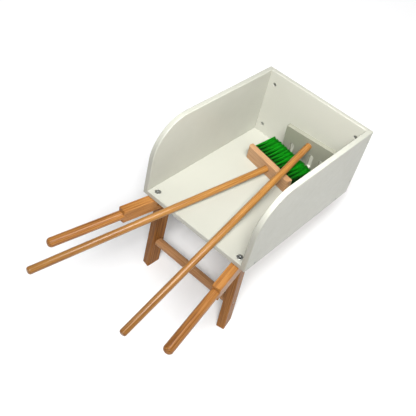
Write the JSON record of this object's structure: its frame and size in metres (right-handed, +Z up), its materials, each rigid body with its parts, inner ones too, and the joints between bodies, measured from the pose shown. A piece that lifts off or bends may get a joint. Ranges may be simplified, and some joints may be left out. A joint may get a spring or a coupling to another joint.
{
  "type": "toy barrow with broom and rake",
  "caption": "Child's wooden barrow with an open-fronted painted tray on splayed rails with turned handles, carrying a small bristle broom and a toothed rake with long round sticks.",
  "frame": {"origin": "on the ground under the middle of the whole set's length and width", "axes": "+X forwards from the handles to the wheel, +Y to the barrow's left, +Z up"},
  "size_m": [0.8584, 0.3476, 0.3927],
  "materials": {
    "tray_paint": "satin off-white paint on board, softened edges",
    "oiled_wood": "oiled, satin, straight grain",
    "pale_wood": "pale wood, lightly oiled",
    "stick_wood": "oiled dowel, satin",
    "head_paint": "satin grey-green paint",
    "bristle": "soft synthetic bristle",
    "zinc_steel": "zinc plated",
    "nylon": "moulded nylon",
    "tyre_rubber": "matt black rubber"
  },
  "bodies": {
    "barrow": {"floor_board": "tray_paint", "left_side": "tray_paint", "right_side": "tray_paint", "end_panel": "tray_paint", "left_rail": "oiled_wood", "right_rail": "oiled_wood", "left_leg": "oiled_wood", "right_leg": "oiled_wood", "stretcher": "oiled_wood", "floor_bolts": "zinc_steel", "rail_barrel_nuts": "zinc_steel", "side_bolts": "zinc_steel", "panel_barrel_nuts": "zinc_steel", "floor_barrel_nuts": "zinc_steel", "leg_bolts": "zinc_steel", "leg_barrel_nuts": "zinc_steel", "stretcher_screws": "zinc_steel", "axle": "zinc_steel", "axle_washers": "zinc_steel", "axle_nuts": "zinc_steel", "leg_dowels": "pale_wood", "axle_spacers": "nylon"},
    "wheel": {"wheel_disc": "oiled_wood", "wheel_bushes": "nylon", "tyre": "tyre_rubber"},
    "broom": {"broom_block": "pale_wood", "broom_bristles": "bristle", "broom_stick": "stick_wood"},
    "rake": {"rake_head": "head_paint", "rake_stick": "stick_wood", "rake_screw": "zinc_steel"}
  },
  "joints": [
    {"name": "wheel_spin", "type": "hinge", "parent": "barrow", "child": "wheel", "pos_m": [0.3428, 0, 0.08548], "axis": [0, 1, 0], "continuous": true},
    {"name": "broom_lift", "type": "slide", "parent": "barrow", "child": "broom", "axis": [0, 0, 1], "range_m": [0, 0.3]},
    {"name": "rake_lift", "type": "slide", "parent": "broom", "child": "rake", "axis": [0, 0, 1], "range_m": [0, 0.3]}
  ]
}
